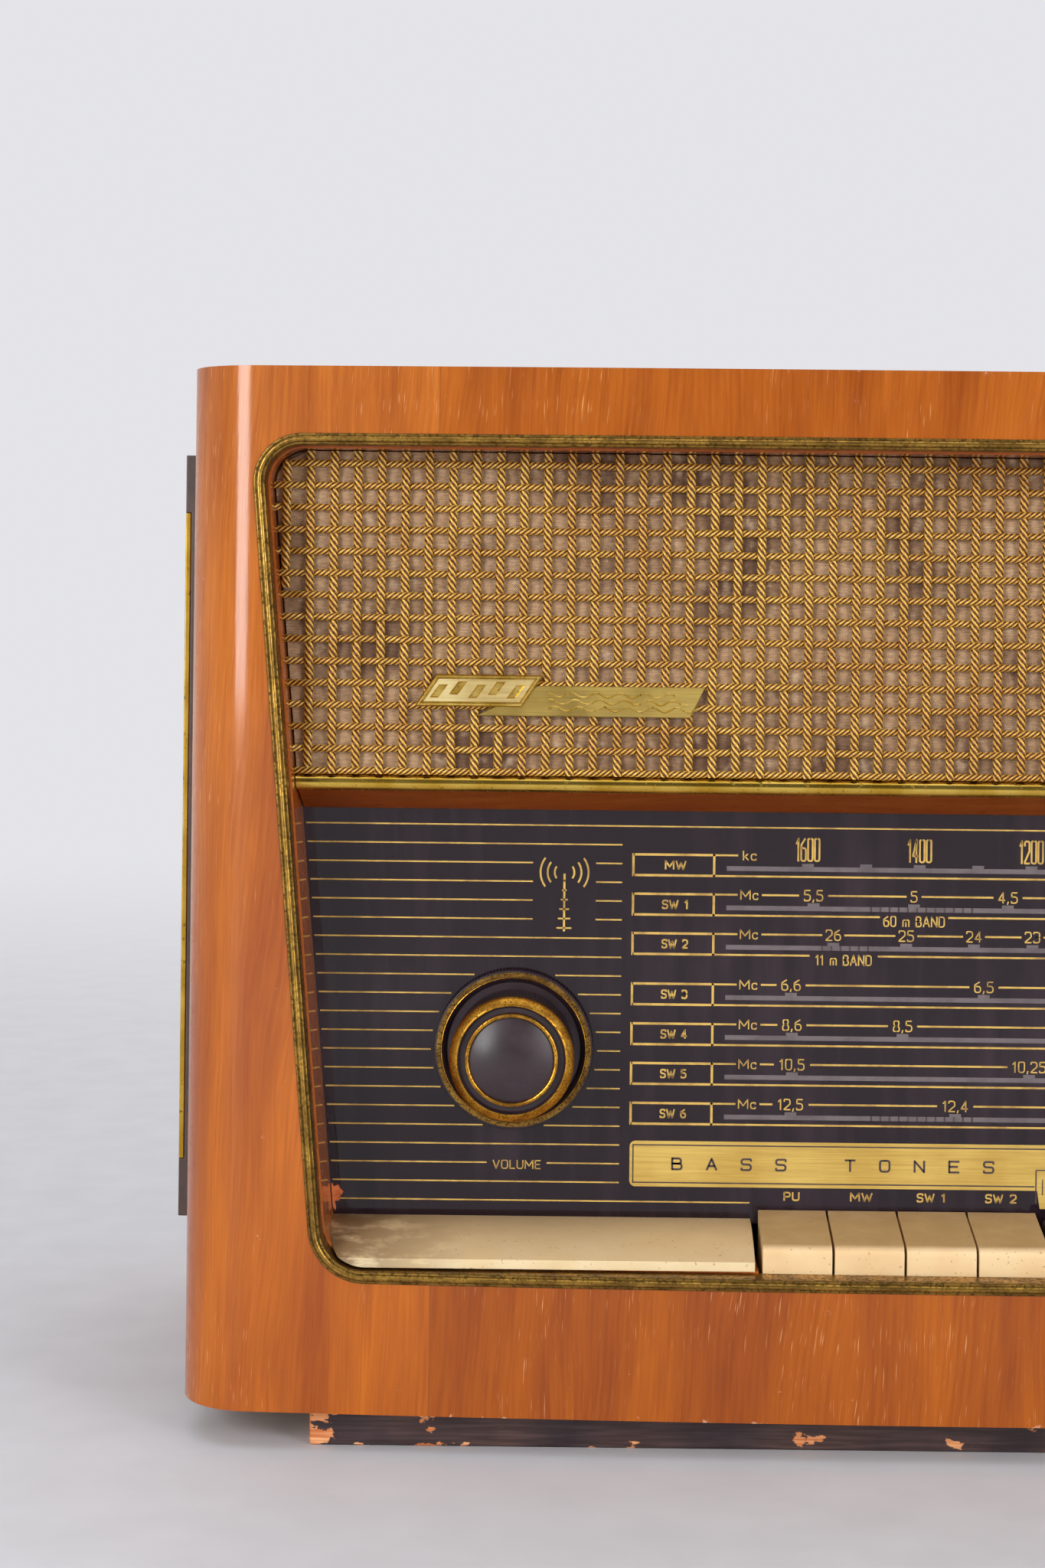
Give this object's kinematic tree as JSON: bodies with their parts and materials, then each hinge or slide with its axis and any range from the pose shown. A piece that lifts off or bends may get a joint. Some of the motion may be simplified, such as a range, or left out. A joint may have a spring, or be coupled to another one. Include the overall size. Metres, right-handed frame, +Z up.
{
  "type": "tabletop valve radio",
  "caption": "Tabletop valve radio: bowed veneered cabinet, woven gold grille, dark glass dial, double knobs, ivory piano keys and tone wheels, with its chassis inside.",
  "frame": {"origin": "on the surface that the plinth stands on, under the middle of the whole radio", "axes": "+Z up, +Y towards the back, +X to the right of someone who faces the dial"},
  "size_m": [0.692, 0.2816, 0.398],
  "materials": {
    "veneer": "glossy amber lacquer over vertical-grain veneer",
    "liner_wood": "glossy orange-brown lacquer",
    "bare_wood": "bare plywood and blocks",
    "plinth_stain": "dark brown stain, chipped",
    "brass": "lacquered brass, aged",
    "gold_cord": "twisted gold-coloured cord",
    "speaker_cloth": "plain woven cloth",
    "dial_glass": "dark back-printed glass",
    "ivory": "yellowed ivory plastic",
    "knob_plastic": "dark aubergine plastic",
    "brown_plastic": "moulded brown plastic",
    "bakelite": "moulded bakelite",
    "steel": "plated sheet and rod",
    "white_enamel": "white enamel",
    "speaker_paint": "black hammer paint",
    "iron": "varnished laminations",
    "aluminium": "drawn cans and plates",
    "valve_glass": "clear bulb glass",
    "drive_cord": "braided dial cord",
    "pressboard": "brown pressboard"
  },
  "bodies": {
    "cabinet": {"cabinet_wrap": "veneer", "cabinet_top": "veneer", "cabinet_floor": "bare_wood", "plinth": "plinth_stain", "corner_blocks": "bare_wood", "window_liner": "liner_wood", "brass_bezel": "brass", "speaker_baffle": "bare_wood", "grille_cloth": "speaker_cloth", "grille_cords": "gold_cord", "grille_bar": "brass", "dial_rail": "liner_wood", "emblem": "brass", "side_grilles": "brown_plastic", "side_trims": "brass", "dial_glass": "dial_glass", "glass_clips": "steel", "dial_backplate": "white_enamel", "pointer_rail": "steel", "dial_lamps": "valve_glass", "filler_strips": "ivory", "key_frame": "steel", "key_rod": "steel", "tone_bracket": "steel", "volume_pot": "steel", "tuning_bearing": "steel", "chassis": "steel", "chassis_feet": "bare_wood", "transformers": "iron", "capacitor_cans": "aluminium", "valves": "valve_glass", "if_cans": "aluminium", "tuning_cap_frame": "aluminium", "drive_cord": "drive_cord", "main_speaker": "speaker_paint", "side_speakers": "speaker_paint", "back_cover": "pressboard", "back_screws": "steel", "socket_panel": "bakelite"},
    "volume_knob": {"volume_knob": "knob_plastic", "volume_knob_trim": "brass", "volume_shaft": "steel"},
    "volume_ring": {"volume_ring": "knob_plastic"},
    "tuning_knob": {"tuning_knob": "knob_plastic", "tuning_knob_trim": "brass", "tuning_shaft": "steel"},
    "tuning_ring": {"tuning_ring": "knob_plastic"},
    "drum": {"drive_drum": "brass"},
    "rotor": {"tuning_cap_rotor": "aluminium"},
    "pointer": {"dial_pointer": "white_enamel"},
    "bass_wheel": {"bass_wheel": "knob_plastic"},
    "treble_wheel": {"treble_wheel": "knob_plastic"},
    "key_1": {"key_1": "ivory"},
    "key_2": {"key_2": "ivory"},
    "key_3": {"key_3": "ivory"},
    "key_4": {"key_4": "ivory"},
    "key_5": {"key_5": "ivory"},
    "key_6": {"key_6": "ivory"},
    "key_7": {"key_7": "ivory"},
    "key_8": {"key_8": "ivory"}
  },
  "joints": [
    {"name": "volume_turn", "type": "hinge", "parent": "cabinet", "child": "volume_knob", "pos_m": [-0.218, -0.0932, 0.1425], "axis": [0, 1, 0], "range_deg": [0, 290]},
    {"name": "left_ring_turn", "type": "hinge", "parent": "cabinet", "child": "volume_ring", "pos_m": [-0.218, -0.0932, 0.1425], "axis": [0, 1, 0], "range_deg": [-140, 140]},
    {"name": "tuning_turn", "type": "hinge", "parent": "cabinet", "child": "tuning_knob", "pos_m": [0.218, -0.0932, 0.1425], "axis": [0, 1, 0], "range_deg": [-3008.03, 1289.15]},
    {"name": "right_ring_turn", "type": "hinge", "parent": "cabinet", "child": "tuning_ring", "pos_m": [0.218, -0.0932, 0.1425], "axis": [0, 1, 0], "range_deg": [-140, 140]},
    {"name": "drum_turn", "type": "hinge", "parent": "cabinet", "child": "drum", "pos_m": [0.12, -0.0632, 0.172], "axis": [0, 1, 0], "range_deg": [-376.76, 161.47]},
    {"name": "rotor_turn", "type": "hinge", "parent": "cabinet", "child": "rotor", "pos_m": [0.12, 0.0208, 0.1396], "axis": [0, 1, 0], "range_deg": [-53.82, 125.58]},
    {"name": "pointer_slide", "type": "slide", "parent": "cabinet", "child": "pointer", "axis": [1, 0, 0], "range_m": [-0.21042, 0.09018]},
    {"name": "key_1_press", "type": "hinge", "parent": "cabinet", "child": "key_1", "pos_m": [0, -0.0212, 0.065], "axis": [1, 0, 0], "range_deg": [0, 3.6], "stiffness_Nm_per_rad": 0.4, "springref_deg": -20.05},
    {"name": "key_2_press", "type": "hinge", "parent": "cabinet", "child": "key_2", "pos_m": [0, -0.0212, 0.065], "axis": [1, 0, 0], "range_deg": [0, 3.6], "stiffness_Nm_per_rad": 0.4, "springref_deg": -20.05},
    {"name": "key_3_press", "type": "hinge", "parent": "cabinet", "child": "key_3", "pos_m": [0, -0.0212, 0.065], "axis": [1, 0, 0], "range_deg": [0, 3.6], "stiffness_Nm_per_rad": 0.4, "springref_deg": -20.05},
    {"name": "key_4_press", "type": "hinge", "parent": "cabinet", "child": "key_4", "pos_m": [0, -0.0212, 0.065], "axis": [1, 0, 0], "range_deg": [0, 3.6], "stiffness_Nm_per_rad": 0.4, "springref_deg": -20.05},
    {"name": "key_5_press", "type": "hinge", "parent": "cabinet", "child": "key_5", "pos_m": [0, -0.0212, 0.065], "axis": [1, 0, 0], "range_deg": [0, 3.6], "stiffness_Nm_per_rad": 0.4, "springref_deg": -20.05},
    {"name": "key_6_press", "type": "hinge", "parent": "cabinet", "child": "key_6", "pos_m": [0, -0.0212, 0.065], "axis": [1, 0, 0], "range_deg": [0, 3.6], "stiffness_Nm_per_rad": 0.4, "springref_deg": -20.05},
    {"name": "key_7_press", "type": "hinge", "parent": "cabinet", "child": "key_7", "pos_m": [0, -0.0212, 0.065], "axis": [1, 0, 0], "range_deg": [0, 3.6], "stiffness_Nm_per_rad": 0.4, "springref_deg": -20.05},
    {"name": "key_8_press", "type": "hinge", "parent": "cabinet", "child": "key_8", "pos_m": [0, -0.0212, 0.065], "axis": [1, 0, 0], "range_deg": [0, 3.6], "stiffness_Nm_per_rad": 0.4, "springref_deg": -20.05},
    {"name": "bass_turn", "type": "hinge", "parent": "cabinet", "child": "bass_wheel", "pos_m": [0, -0.1068, 0.0615], "axis": [1, 0, 0], "range_deg": [-135, 135]},
    {"name": "treble_turn", "type": "hinge", "parent": "cabinet", "child": "treble_wheel", "pos_m": [0, -0.1068, 0.0615], "axis": [1, 0, 0], "range_deg": [-135, 135]}
  ],
  "couplings": [
    {"joint": "drum_turn", "follows": "tuning_turn", "ratio": 0.125},
    {"joint": "rotor_turn", "follows": "tuning_turn", "ratio": -0.041667},
    {"joint": "pointer_slide", "follows": "tuning_turn", "m_per_rad": 0.004}
  ]
}
